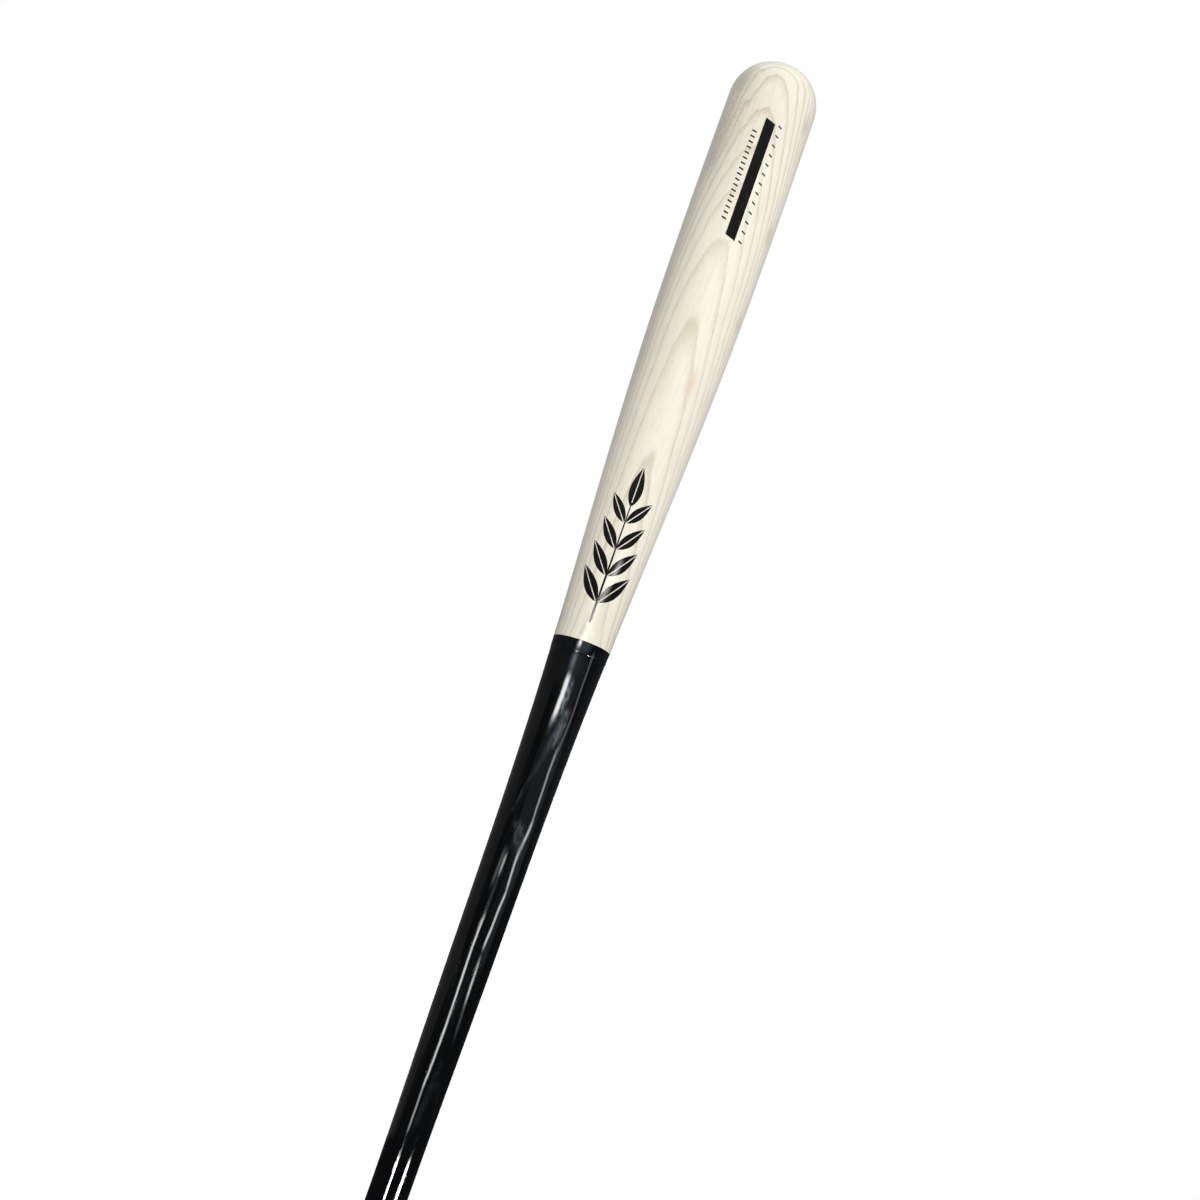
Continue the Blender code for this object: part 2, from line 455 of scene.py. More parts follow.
class Shading:
    """The node tree of a material or the world, built from expressions."""

    def __init__(self, tree):
        self.tree = tree
        tree.nodes.clear()

    def add(self, kind, settings=None, sockets=None, output=0):
        """Adds a node: its settings first, then the values or links of its sockets."""
        node = self.tree.nodes.new(kind)
        for setting, value in (settings or {}).items():
            if setting == "points":
                self.bend(node.mapping, value)
            else:
                setattr(node, setting, value)
        for key, value in (sockets or {}).items():
            if isinstance(value, Wire):
                self.tree.links.new(value.socket, node.inputs[key])
            else:
                node.inputs[key].default_value = value
        return Wire(self, node, output) if node.outputs else None

    def bend(self, mapping, points):
        """Lays the curve of a curve node through points from 0 to 1 each way."""
        curve = mapping.curves[0]
        while len(curve.points) < len(points):
            curve.points.new(0.5, 0.5)
        for knot, point in zip(curve.points, sorted(points)):
            knot.location = point
        mapping.update()

    def math(self, operation, first, second=0.0, third=0.0):
        """A Math node."""
        sockets = {0: first, 1: second, 2: third}
        return self.add("ShaderNodeMath", {"operation": operation}, sockets)

    def greater(self, first, second):
        """The greater of two values."""
        return self.math("MAXIMUM", first, second)

    def clamp(self, value):
        """The value, held between 0 and 1."""
        return self.add("ShaderNodeClamp", None, {"Value": value})

    def smooth(self, value, low, high):
        """0 below low, 1 above high, and a soft step between them."""
        sockets = {"Value": value, "From Min": low, "From Max": high}
        return self.add("ShaderNodeMapRange", {"interpolation_type": "SMOOTHSTEP"}, sockets)

    def mix(self, factor, first, second):
        """One colour over another."""
        pair = [(*c, 1.0) if not isinstance(c, Wire) else c for c in (first, second)]
        sockets = {0: factor, 6: pair[0], 7: pair[1]}
        return self.add("ShaderNodeMix", {"data_type": "RGBA"}, sockets, output=2)

    def place(self):
        """The point on the piece, in metres."""
        return self.add("ShaderNodeTexCoord", output="Object")

    def parts(self, place):
        """The x, y and z of a point."""
        x = self.add("ShaderNodeSeparateXYZ", None, {0: place})
        return x, x.out("Y"), x.out("Z")

    def far(self, place):
        """How far a point is from the origin."""
        return self.add("ShaderNodeVectorMath", {"operation": "LENGTH"}, {0: place}, output="Value")

    def noise(self, place, kind):
        """Soft noise from 0 to 1."""
        shift = (kind.seed, kind.seed, kind.seed)
        scale = (1 / kind.across, 1 / kind.across, 1 / kind.along)
        sockets = {"Vector": place, "Location": shift, "Scale": scale}
        cell = self.add("ShaderNodeMapping", None, sockets)
        sockets = {"Vector": cell, "Scale": 1.0, "Detail": kind.detail}
        return self.add("ShaderNodeTexNoise", None, sockets)

    def stray(self, place, kind):
        """Soft noise from -0.5 to 0.5."""
        return self.noise(place, kind) - 0.5

    def patches(self, place, kind):
        """Soft noise cut into patches."""
        return self.smooth(self.noise(place, kind), kind.low, kind.high)

    def spot(self, place, centre, size):
        """1 in the middle of an ellipsoid and 0 at its surface."""
        scale = Vector([1 / s for s in size])
        shift = Vector([-c * s for c, s in zip(centre, scale)])
        sockets = {"Vector": place, "Location": shift, "Scale": scale}
        unit = self.add("ShaderNodeMapping", None, sockets)
        return 1 - self.smooth(self.far(unit), 0.0, 1.0)


# The ash

# How the rings stray, and how fibre, pores, shaded patches and flecks are spread
WANDER = Noise(0.018, 0.090, 0.0, 3.0)
RIPPLE = Noise(0.006, 0.026, 1.0, 8.0)
FIBRE = Noise(0.0008, 0.045, 2.0, 0.0, 0.35, 0.75)
PORES = Noise(0.00034, 0.0070, 1.0, 5.0, 0.56, 0.70)
SHADE = Noise(0.030, 0.120, 2.0, 11.0, 0.45, 0.80)
FLECKS = Noise(0.0016, 0.0034, 2.0, 21.0, 0.42, 0.66)

# A ring's dark line, in shares of the ring: how soon it is full, where it ends, over what share
# it fades and how steeply. The weakest years keep a share of its strength.
LINE_RISE = 0.12
LINE_END = 0.50
LINE_FADE = 0.44
LINE_FALL = 1.8
WEAKEST_YEAR = 0.50

# Strength of the pores between the dark lines
PORES_BETWEEN = 0.15

# Centre and half sizes of the curly zone near the end, and how much more the rings ripple in it
CURLY = ((-0.026, -0.022, 0.810), (0.030, 0.034, 0.080))
CURLY_RIPPLE = 6.0

# Centre and half sizes of the flecked zone near the end
MOTTLED = ((-0.027, -0.019, 0.805), (0.021, 0.026, 0.062))

# Heights of the tips of the arches that the rings make on the printed side, one ring apart
ARCH_TIPS = (
    0.030, 0.098, 0.160, 0.228, 0.301, 0.377, 0.469, 0.567,
    0.654, 0.716, 0.755, 0.785, 0.817, 0.8435, 0.867,
)

# The lowest level that a ring may have at an arch's tip, and the span above it
LEVEL_BASE = -0.010
LEVEL_SPAN = 0.064


class Stain(NamedTuple):
    """A soft darker patch: the wood's own staining, or in two entries painted shade. Its tone names
    one of AshLook's colours, its size is half sizes.
    """

    tone: str
    centre: tuple
    size: tuple
    strength: float


# Stains in the wood, and two patches of painted shade on the barrel
STAINS_AND_PAINTED_SHADE = {
    "tall arch's leg": Stain("tan", (0.0104, -0.0265, 0.606), (0.0054, 0.010, 0.018), 0.80),
    "tall arch's tip": Stain("olive", (-0.0014, -0.0295, 0.644), (0.0072, 0.010, 0.015), 0.72),
    "low arch's tip": Stain("olive", (0.0030, -0.0250, 0.5515), (0.0042, 0.010, 0.007), 0.60),
    # Painted shade: a darker band down the barrel's left flank, where less light falls
    "painted shade, left flank": Stain("grey", (-0.0280, -0.0120, 0.655), (0.0080, 0.020, 0.165), 0.30),
    # Painted shade: the front near the end is dimmed where the key light is brightest
    "painted shade, front of the end": Stain("grey", (0.006, -0.030, 0.808), (0.034, 0.030, 0.042), 0.16),
    "flank near the end": Stain("grey", (-0.027, -0.018, 0.790), (0.016, 0.022, 0.060), 0.42),
    "cheek of the end": Stain("grey", (-0.023, -0.018, 0.836), (0.011, 0.016, 0.016), 0.58),
    "fleck on the left": Stain("grey", (-0.027, -0.0165, 0.772), (0.006, 0.008, 0.012), 0.35),
    "curl on the right": Stain("grey", (0.028, -0.0150, 0.733), (0.005, 0.008, 0.014), 0.55),
    "curl lower down": Stain("grey", (0.028, -0.0125, 0.665), (0.005, 0.008, 0.012), 0.45),
    "curl near the end": Stain("grey", (0.027, -0.0170, 0.820), (0.005, 0.008, 0.012), 0.55),
}


class RingFigure:
    """Growth rings of ash, cut by the turned surface.

    The heart of the log lies behind the printed side. There the rings close in tall arches, whose
    tips at ARCH_TIPS point to the barrel's end, and on the flanks they run in fine parallel lines.
    """

    def __init__(self, shading, look):
        self.shading = shading
        self.place = shading.place()
        sockets = {"Vector": self.place, "Rotation": (0.0, 0.0, look.figure_turn)}
        x, y, self.z = shading.parts(shading.add("ShaderNodeMapping", None, sockets))
        lean = shading.greater(look.bend_height - self.z, 0.0) * look.figure_lean
        wander = shading.stray(self.place, WANDER)
        ripple = shading.stray(self.place, RIPPLE)
        curly = shading.spot(self.place, *CURLY)
        behind = look.heart_distance - y
        reach = (lean * lean + look.heart_distance**2) ** 0.5
        depth = (behind * behind + (x + lean) ** 2.0) ** 0.5 - reach
        stray = wander * look.wander + ripple * look.ripple * (1 + curly * CURLY_RIPPLE)
        growth = (depth - self.level(look) + stray) / look.ring_width
        part = shading.math("FRACT", growth)
        year = shading.math("FLOOR", growth)
        luck = shading.add("ShaderNodeTexWhiteNoise", {"noise_dimensions": "1D"}, {"W": year})
        fade = shading.clamp((LINE_END - part) / LINE_FADE) ** LINE_FALL
        self.early = shading.smooth(part, 0.0, LINE_RISE) * fade
        self.line = self.early * (luck * (1 - WEAKEST_YEAR) + WEAKEST_YEAR)
        self.fibre = shading.noise(self.place, FIBRE)
        within = self.early * (1 - PORES_BETWEEN) + PORES_BETWEEN
        self.pores = shading.patches(self.place, PORES) * within

    def level(self, look):
        """How deep the first ring lies at each height, so that the arches close at their tips."""
        middle = len(ARCH_TIPS) // 2
        points = []
        for i, tip in enumerate(ARCH_TIPS):
            level = CURVE.radius(tip) + (i - middle) * look.ring_width
            points.append((tip, (level - LEVEL_BASE) / LEVEL_SPAN))
        bent = self.shading.add("ShaderNodeFloatCurve", {"points": points}, {"Value": self.z})
        return bent * LEVEL_SPAN + LEVEL_BASE


def ash_colour(shading, figure, look):
    """Pale wood, ring lines, pores, fibre, broad patches, stains, painted shade and flecks."""
    wood = shading.mix(figure.line, look.pale, look.line)
    wood = shading.mix(figure.pores * look.pore_strength, wood, look.pore)
    streaks = shading.smooth(figure.fibre, FIBRE.low, FIBRE.high)
    wood = shading.mix(streaks * look.fibre_strength, wood, look.line)
    shade = shading.patches(figure.place, SHADE)
    wood = shading.mix(shade * look.shade_strength, wood, look.grey)
    # The wood's stains, and the painted shade on the left flank and the front near the end
    for stain_or_shade in STAINS_AND_PAINTED_SHADE.values():
        spot = shading.spot(figure.place, stain_or_shade.centre, stain_or_shade.size)
        wood = shading.mix(spot * stain_or_shade.strength, wood, getattr(look, stain_or_shade.tone))
    flecks = shading.patches(figure.place, FLECKS) * shading.spot(figure.place, *MOTTLED)
    return shading.mix(flecks * look.fleck_strength, wood, look.grey)


# The finishes

WOOD_IOR = 1.45
LACQUER_IOR = 1.5
SAG = Noise(0.011, 0.070, 1.0, 2.0)
VEIL = Noise(0.004, 0.030, 2.0, 6.0, 0.35, 0.70)

# How far pores and fibre stand in a lacquer's surface, against the ring lines
PORE_RELIEF = 0.7
FIBRE_RELIEF = 0.8


def new_material(name, viewport_colour):
    """An empty node material."""
    material = bpy.data.materials.get(name)
    if material is None:
        material = bpy.data.materials.new(name)
    material.use_nodes = True
    material.diffuse_color = (*viewport_colour, 1.0)
    return material, Shading(material.node_tree)


def principled(shading, ior, body, rough, bump):
    """Ends a material in a Principled shader."""
    sockets = {"Base Color": body, "Roughness": rough, "IOR": ior, "Normal": bump}
    shader = shading.add("ShaderNodeBsdfPrincipled", None, sockets)
    shading.add("ShaderNodeOutputMaterial", None, {"Surface": shader})


def end_in_gloss(shading, figure, lacquer, body, rough):
    """Ends a material in a lacquer's gloss: its slow sag, and the grain telegraphing through."""
    sag = shading.noise(figure.place, SAG)
    grain = figure.line + figure.pores * PORE_RELIEF + figure.fibre * FIBRE_RELIEF
    height = sag * lacquer.sag + grain * (-lacquer.grain)
    bump = shading.add("ShaderNodeBump", None, {"Height": height, "Distance": 1.0})
    principled(shading, LACQUER_IOR, body, rough, bump)


def bare_ash(look):
    """The sanded wood under the lacquers."""
    material, shading = new_material("sanded_ash", look.pale)
    figure = RingFigure(shading, look)
    body = ash_colour(shading, figure, look)
    rough = figure.early * look.early_roughness + look.bare_roughness
    sockets = {"Height": figure.pores * -1.0, "Distance": look.pore_depth}
    principled(shading, WOOD_IOR, body, rough, shading.add("ShaderNodeBump", None, sockets))
    return material


def lacquered_ash(look, lacquer):
    """Clear lacquer and the ash that shows through it."""
    material, shading = new_material("clear_lacquered_ash", look.pale)
    figure = RingFigure(shading, look)
    body = ash_colour(shading, figure, look)
    rough = figure.early * lacquer.early_roughness + lacquer.barrel_gloss
    end_in_gloss(shading, figure, lacquer, body, rough)
    return material


def black_lacquer(name, look, lacquer):
    """Deep gloss black, in which the ring lines only just show."""
    material, shading = new_material(name, lacquer.black)
    figure = RingFigure(shading, look)
    veil = shading.noise(figure.place, VEIL)
    shown = figure.line * shading.smooth(veil, VEIL.low, VEIL.high)
    body = shading.mix(shown, lacquer.black, lacquer.haze)
    rough = figure.line * lacquer.line_roughness + veil * lacquer.veil_roughness + lacquer.gloss
    end_in_gloss(shading, figure, lacquer, body, rough)
    return material


def printed_ink(look, lacquer, print_look):
    """Black print with the lacquer's gloss, a little worn on the pores."""
    material, shading = new_material("printed_ink", print_look.ink)
    figure = RingFigure(shading, look)
    body = shading.mix(figure.pores * print_look.wear, print_look.ink, print_look.worn)
    rough = figure.early * lacquer.early_roughness + print_look.gloss
    end_in_gloss(shading, figure, lacquer, body, rough)
    return material


# The pieces


class BAT_OT_turn_billet(bpy.types.Operator):
    """Turns the ash billet, undersize under both lacquers"""

    bl_idname = "bat.turn_billet"
    bl_label = "Turn Ash Billet"

    def execute(self, context):
        scene = context.scene
        shape = scene.bat_shape
        slow = CURVE.points(CURVE_FOOT, CURVE_TOP, shape.ring_step)
        outline = knob_outline(shape) + slow + end_outline(shape)
        profile = moved_out(outline, lambda height: -BILLET_DEPTH)
        piece = lathe("turned_ash", profile, shape.sides, [bare_ash(scene.bat_ash)])
        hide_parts(BILLET)
        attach(piece, "root")
        return {"FINISHED"}


class BAT_OT_dip_handle(bpy.types.Operator):
    """Makes the black skin of knob and handle, up to its sharp edge"""

    bl_idname = "bat.dip_handle"
    bl_label = "Dip Handle in Black"

    def execute(self, context):
        scene = context.scene
        shape, coats = scene.bat_shape, scene.bat_coats
        outer = knob_outline(shape) + CURVE.points(CURVE_FOOT, BLACK_EDGE, shape.ring_step)
        inner = moved_out(outer, lambda height: -coats.thickness)
        inner[-1] = (inner[-1][0], BLACK_EDGE)
        black = black_lacquer("black_lacquer", scene.bat_ash, scene.bat_lacquer)
        piece = lathe("black_lacquer_coat", outer + inner[::-1], shape.sides, [black])
        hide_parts(BLACK_COAT)
        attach(piece, "root")
        return {"FINISHED"}


def lap_rise(coats):
    """How far the clear coat stands off the outline: a round foot, the lap, and its fade."""

    def rise(height):
        into_foot = min(max(height - LAP_START, 0.0) / coats.lap_foot, 1.0)
        foot = math.sqrt(1 - (1 - into_foot) ** 2)
        into_fade = min(max(height - BLACK_EDGE, 0.0) / coats.lap_fade, 1.0)
        return foot * coats.lap_rise * (1 - into_fade * into_fade * (3 - 2 * into_fade))

    return rise


class BAT_OT_coat_barrel(bpy.types.Operator):
    """Makes the clear skin of the barrel, which laps over the black and shows the ash"""

    bl_idname = "bat.coat_barrel"
    bl_label = "Coat Barrel in Clear"

    def execute(self, context):
        scene = context.scene
        shape, coats = scene.bat_shape, scene.bat_coats
        fade_end = BLACK_EDGE + coats.lap_fade
        foot_end = LAP_START + coats.lap_foot
        foot = CURVE.points(LAP_START, foot_end, coats.foot_step)
        lap = foot + CURVE.points(foot_end, BLACK_EDGE, coats.lap_step)[1:]
        fade = CURVE.points(BLACK_EDGE, fade_end, coats.lap_step)
        barrel = CURVE.points(fade_end, CURVE_TOP, shape.ring_step)[1:] + end_outline(shape)
        outer = moved_out(lap + fade[1:] + barrel, lap_rise(coats))
        seat = coats.lap_seat * coats.lap_rise
        inner = moved_out(
            [lap[0], lap[-1], fade[-1]] + barrel,
            lambda height: seat if height <= BLACK_EDGE else -coats.thickness,
        )
        ash = lacquered_ash(scene.bat_ash, scene.bat_lacquer)
        over_black = black_lacquer("clear_over_black", scene.bat_ash, scene.bat_lacquer)
        piece = lathe(
            "clear_lacquer_coat",
            [inner[0]] + outer[1:] + inner[:0:-1] + [inner[0]],
            shape.sides,
            [ash, over_black],
            lambda centre: 1 if centre.z < BLACK_EDGE else 0,
        )
        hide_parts(CLEAR_COAT)
        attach(piece, "root")
        return {"FINISHED"}


# Cells across and along each printed patch
STEM_CELLS = (2, 70)
LEAFLET_CELLS = (5, 28)
BAR_CELLS = (8, 60)
TICK_CELLS = (4, 1)

# A leaflet's belly: how far towards its foot it sits, how full it is, and how fast the gap
# along the midrib closes with it at foot and tip
BELLY_SKEW = 0.8
BELLY_FULLNESS = 0.9
MIDRIB_CLOSING = 4

# The stem's widths at foot and tip, and how far it runs into the top leaflet, as a share of that
STEM_WIDTHS = (0.0016, 0.0007)
STEM_OVERLAP = 0.1

# Height of the lowest pair and step between pairs, in shares of the sprig, and how each shrinks
FIRST_PAIR = 0.13
PAIR_STEP = 0.17
PAIR_SHRINK = 0.06


class TickRow(NamedTuple):
    """A row of ticks, whose middle is across from the print's and shifted up from the bar's."""

    across: float
    shift: float
    width: float
    pitch: float
    count: int


TICK_ROWS = {
    "printed_ticks_left": TickRow(-0.0054, 0.0006, 0.0034, 0.00428, 17),
    "printed_ticks_right": TickRow(0.0105, -0.0007, 0.0028, 0.00757, 13),
}


def add_patch(bm, film, origin, turn, patch, cells):
    """Adds a printed patch, bent onto the barrel a film's thickness under its surface.

    The patch maps a grid of -1 to 1 each way to metres across and along it. It is turned by an
    angle, and its origin is put at (across, height) on the unrolled barrel.
    """
    grid = bmesh.ops.create_grid(bm, x_segments=cells[0], y_segments=cells[1], size=1.0)
    for vert in grid["verts"]:
        across, along = patch(vert.co.x, vert.co.y)
        side = origin[0] + across * math.cos(turn) + along * math.sin(turn)
        height = origin[1] - across * math.sin(turn) + along * math.cos(turn)
        radius = CURVE.radius(height)
        sweep = side / radius
        reach = radius - film
        vert.co = (reach * math.sin(sweep), -reach * math.cos(sweep), height)


def finish_print(name, bm, film, ink):
    """Merges the tips of the patches and thickens them outwards by two films."""
    bmesh.ops.remove_doubles(bm, verts=bm.verts, dist=MERGE_DISTANCE)
    made = bmesh.ops.extrude_face_region(bm, geom=bm.faces, use_keep_orig=True)
    for vert in only(bmesh.types.BMVert, made):
        reach = vert.co.xy.length
        vert.co.xy *= (reach + 2 * film) / reach
    bmesh.ops.recalc_face_normals(bm, faces=bm.faces)
    piece = new_piece(name, bm, [ink])
    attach(piece, "root")


def half_leaflet(side, size, gap):
    """Half of a pointed leaflet beside its midrib, from its foot at the origin."""

    def patch(a, b):
        along = (b + 1) / 2
        belly = 0.0
        if 0 < along < 1:
            belly = math.sin(math.pi * along**BELLY_SKEW) ** BELLY_FULLNESS
        inner = gap / 2 * min(1.0, belly * MIDRIB_CLOSING)
        outer = max(size[0] / 2 * belly, inner)
        return side * (inner + (outer - inner) * (a + 1) / 2), along * size[1]

    return patch


def stroke(run, width_foot, width_top, slant=0.0):
    """A straight stroke centred on the origin, with slanted ends."""

    def patch(a, b):
        width = width_foot + (width_top - width_foot) * (b + 1) / 2
        across = a * width / 2
        return across, b * run / 2 - across * slant

    return patch


class BAT_OT_print_sprig(bpy.types.Operator):
    """Prints a plain sprig of paired leaflets on the lower barrel"""

    bl_idname = "bat.print_sprig"
    bl_label = "Print Sprig"

    def execute(self, context):
        scene = context.scene
        look = scene.bat_print
        bm = bmesh.new()
        foot, total = look.sprig_height, look.sprig_length
        stem_length = total - look.leaflet_length * (1 - STEM_OVERLAP)
        stem = stroke(stem_length, *STEM_WIDTHS)
        add_patch(bm, look.film, (0.0, foot + stem_length / 2), 0.0, stem, STEM_CELLS)
        for pair in range(look.pairs):
            height = foot + total * (FIRST_PAIR + PAIR_STEP * pair)
            scale = 1.0 - PAIR_SHRINK * pair
            for side in (-1, 1):
                origin = (side * look.leaflet_aside, height)
                self.add_leaflet(bm, look, origin, side * look.leaflet_lean, scale)
        self.add_leaflet(bm, look, (0.0, foot + total - look.leaflet_length), 0.0, 1.0)
        ink = printed_ink(scene.bat_ash, scene.bat_lacquer, look)
        finish_print("printed_sprig", bm, look.film, ink)
        return {"FINISHED"}

    def add_leaflet(self, bm, look, origin, lean, scale):
        """Adds both halves of a leaflet, with its foot at the origin and leaning off the stem."""
        size = (look.leaflet_width * scale, look.leaflet_length * scale)
        for half in (-1, 1):
            leaflet = half_leaflet(half, size, look.midrib)
            add_patch(bm, look.film, origin, lean, leaflet, LEAFLET_CELLS)


class BAT_OT_print_bars(bpy.types.Operator):
    """Prints the thick slanted bar on the barrel, with a row of short ticks on each side"""

    bl_idname = "bat.print_bars"
    bl_label = "Print Bars"

    def execute(self, context):
        scene = context.scene
        look = scene.bat_print
        ink = printed_ink(scene.bat_ash, scene.bat_lacquer, look)
        bm = bmesh.new()
        bar = stroke(look.bar_length, look.bar_width, look.bar_width, look.slant)
        add_patch(bm, look.film, (look.bar_aside, look.bar_height), 0.0, bar, BAR_CELLS)
        finish_print("printed_bar", bm, look.film, ink)
        for name, row in TICK_ROWS.items():
            bm = bmesh.new()
            tick = stroke(look.tick_length, row.width, row.width, look.slant)
            for i in range(row.count):
                height = look.bar_height + row.shift + (i - (row.count - 1) / 2) * row.pitch
                add_patch(bm, look.film, (row.across, height), 0.0, tick, TICK_CELLS)
            finish_print(name, bm, look.film, ink)
        return {"FINISHED"}


# The studio

# Half the floor's side, how far it lies under the knob, and where the shade at the knob fades
FLOOR_SIZE = 8.0
FLOOR_DROP = 0.0003
SHADE_FADE = (0.03, 0.20)


class Glow(NamedTuple):
    """A soft strip or patch of light on the screen round the bat.

    Its path is a few (height, azimuth) points from its foot to its top, in metres and degrees. Its
    edge is soft by blur degrees across and by foot_fade and top_fade metres at its ends.
    """

    path: tuple
    half_width: float
    blur: float
    foot_fade: float
    top_fade: float
    brightness: float


# Windows and lamps that the gloss mirrors
LAMPLIGHT = {
    "left strip, foot": Glow(((0.000, -13.8), (0.044, -14.2)), 4.4, 3.0, 0.012, 0.012, 7.0),
    "left strip": Glow(
        (
            (0.040, -14.6), (0.062, -10.8), (0.098, -7.9),
            (0.137, -10.5), (0.182, -13.8), (0.209, -9.9),
        ),
        4.4, 2.8, 0.008, 0.006, 15.5,
    ),
    "left strip, tail": Glow(((0.206, -9.5), (0.245, -8.3)), 5.0, 4.0, 0.006, 0.004, 0.7),
    "short left strip": Glow(((0.249, -8.3), (0.266, -7.7)), 4.2, 4.0, 0.004, 0.004, 9.0),
    "beside the short strip": Glow(((0.240, -25.0), (0.270, -20.0)), 6.0, 6.0, 0.008, 0.006, 1.8),
    "right spark, foot": Glow(((0.095, 57.0), (0.124, 49.5)), 5.5, 5.0, 0.014, 0.006, 1.3),
    "right spark": Glow(((0.127, 48.8), (0.137, 46.7), (0.166, 41.5)), 4.6, 3.5, 0.012, 0.01, 12.5),
    "right strip": Glow(
        ((0.182, 40.5), (0.189, 42.0), (0.203, 46.2), (0.217, 48.4), (0.236, 54.0)),
        4.6, 3.5, 0.006, 0.006, 13.5,
    ),
    "right strip, bend": Glow(
        ((0.238, 52.5), (0.252, 48.7), (0.264, 45.0), (0.276, 49.0)), 4.8, 3.8, 0.005, 0.006, 12.0
    ),
    "right strip, second bend": Glow(
        ((0.277, 51.0), (0.290, 57.1), (0.302, 60.0)), 5.5, 4.0, 0.006, 0.006, 10.5
    ),
    "upper right strip": Glow(
        ((0.300, 60.5), (0.331, 54.3), (0.356, 51.5), (0.366, 54.0)), 4.0, 3.4, 0.010, 0.008, 6.8
    ),
    "faint right strip": Glow(
        ((0.362, 56.0), (0.388, 64.5), (0.422, 60.6), (0.452, 57.0)), 3.6, 3.2, 0.010, 0.004, 2.1
    ),
    "window, narrow foot": Glow(((0.383, -13.5), (0.394, -12.6)), 5.0, 4.0, 0.006, 0.006, 6.5),
    "window": Glow(((0.388, -11.5), (0.400, -8.5), (0.4225, -8.8)), 7.6, 4.0, 0.006, 0.004, 20.0),
    "lap glint": Glow(((0.4503, -8.5), (0.455, -8.0)), 5.5, 4.5, 0.0009, 0.004, 30.0),
    "slanted window": Glow(
        ((0.455, -8.0), (0.500, 13.0), (0.537, 32.0)), 6.5, 4.5, 0.004, 0.006, 11.0
    ),
    "back strip": Glow(((0.000, 180.0), (0.750, 180.0)), 6.0, 3.0, 0.050, 0.050, 8.0),
}

# Patches of light on the floor, whose heights below 0 count inwards from the foot of the screen
GLINTS = {
    "left glint": Glow(((-0.420, -13.0), (-0.090, -13.0)), 3.0, 2.5, 0.030, 0.030, 200.0),
    "right glint": Glow(((-0.210, 52.0), (-0.090, 52.0)), 4.0, 3.0, 0.030, 0.030, 200.0),
}

# Dim light of the walls and the sky
HAZE = {
    "left wall": Glow(
        ((-0.020, -126.0), (0.040, -122.0), (0.120, -104.0), (0.260, -107.0), (0.480, -104.0)),
        45.0, 9.0, 0.010, 0.120, 0.14,
    ),
    "right wall": Glow(((0.300, 118.0), (0.480, 118.0)), 34.0, 16.0, 0.080, 0.020, 0.06),
    "beside the right strip": Glow(
        ((0.162, 60.0), (0.213, 62.0), (0.250, 68.0), (0.340, 66.0), (0.380, 66.0)),
        13.0, 9.0, 0.008, 0.020, 0.34,
    ),
    "sky": Glow(((0.272, 22.0), (0.443, 22.0)), 28.0, 6.0, 0.008, 0.002, 0.23),
    "middle sky": Glow(((0.090, 0.0), (0.180, 0.0)), 26.0, 12.0, 0.040, 0.040, 0.09),
    "between the strips": Glow(((0.205, 30.0), (0.268, 34.0)), 16.0, 8.0, 0.010, 0.006, 0.12),
    "beside the lap": Glow(((0.415, -42.0), (0.465, -42.0)), 14.0, 8.0, 0.010, 0.010, 0.14),
    "sky edge": Glow(((0.330, -16.0), (0.443, -16.0)), 12.0, 6.0, 0.030, 0.002, 0.16),
    "under the lap": Glow(((0.430, -9.5), (0.4435, -10.5)), 7.5, 8.0, 0.007, 0.0010, 3.4),
    "bright sky": Glow(((0.426, 4.0), (0.4435, 4.0)), 20.0, 14.0, 0.006, 0.0010, 0.26),
    "lap": Glow(((0.4465, 6.0), (0.458, 16.0)), 22.0, 14.0, 0.0014, 0.004, 1.05),
}

# Mottled light, as of leaves
CLOUDS = {
    "low sky": Glow(((0.008, 16.0), (0.060, 30.0)), 13.0, 10.0, 0.012, 0.020, 0.42),
    "low cloud": Glow(((0.275, 42.0), (0.295, -2.0)), 26.0, 8.0, 0.004, 0.003, 1.6),
    "far mark": Glow(((0.138, -48.0), (0.166, -52.0)), 5.0, 4.0, 0.004, 0.004, 0.7),
    "streak": Glow(
        ((0.304, -52.0), (0.330, -24.0), (0.352, 4.0), (0.370, 20.0)), 7.0, 6.0, 0.006, 0.010, 0.8
    ),
    "high cloud": Glow(((0.366, 17.0), (0.382, 33.0), (0.397, 40.0)), 13.0, 9.0, 0.007, 0.005, 5.2),
    "window fringe": Glow(((0.388, 0.0), (0.400, 7.0), (0.418, 8.0)), 11.0, 9.0, 0.008, 0.006, 8.0),
}

# The screen: its radius and top, the hole in its floor, and the floor's rise to the wall
SCREEN_RADIUS = 0.45
SCREEN_TOP = 1.60
SCREEN_HOLE = 0.03
SCREEN_RISE = 0.002
SCREEN_SIDES = 96

# How the strips of lamplight sway, in degrees, and how the clouds are mottled
SWAY = Noise(0.5, 0.009, 1.0, 2.0)
SWAY_ANGLE = 3.5
LEAVES = Noise(0.110, 0.0027, 3.0, 7.0, 0.44, 0.57)

# Heights over which the light above the lap comes in, and azimuths over which the flank's does
UPPER_HEIGHTS = (0.47, 0.62)
FLANK_AZIMUTHS = (50.0, 100.0)

# Where the light is white and not tinted: lamps this bright, above these heights, and to the
# left of these azimuths
WHITE_FROM = 2.0
WHITE_HEIGHTS = (0.45, 0.50)
WHITE_AZIMUTHS = (-75.0, -30.0)


